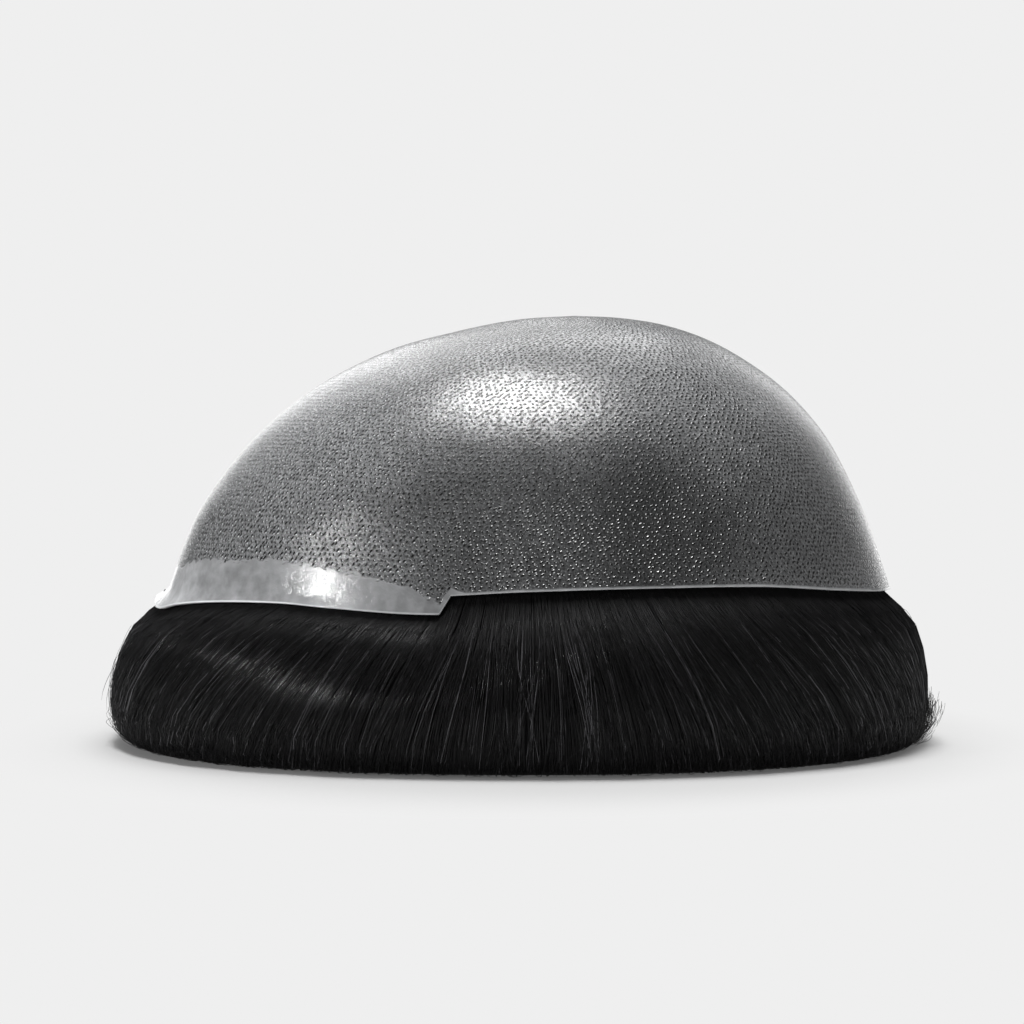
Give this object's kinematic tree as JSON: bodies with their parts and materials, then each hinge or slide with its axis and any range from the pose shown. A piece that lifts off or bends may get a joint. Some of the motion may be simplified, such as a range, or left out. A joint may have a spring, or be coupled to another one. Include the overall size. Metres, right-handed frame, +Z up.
{
  "type": "toupee hairpiece",
  "caption": "Thin-skin hairpiece turned inside out: a glossy knotted skin dome with an uncut front strip, standing on its own roll of short dark hair.",
  "frame": {"origin": "on the floor, in the middle of the overall length and width", "axes": "+Z up, -X towards the front hairline with its uncut strip, +X towards the back, -Y the side that the picture shows"},
  "size_m": [0.2134, 0.16, 0.1099],
  "materials": {
    "skin": "glossy see-through polyurethane skin over dark hair, with rows of tiny dark knots, milky where it is bare",
    "hair": "straight near-black hair with a soft sheen along the strands"
  },
  "bodies": {
    "root": {"skin_base": "skin", "hair_crown": "hair", "hair_right": "hair", "hair_front": "hair", "hair_left": "hair", "hair_back": "hair"}
  },
  "joints": []
}
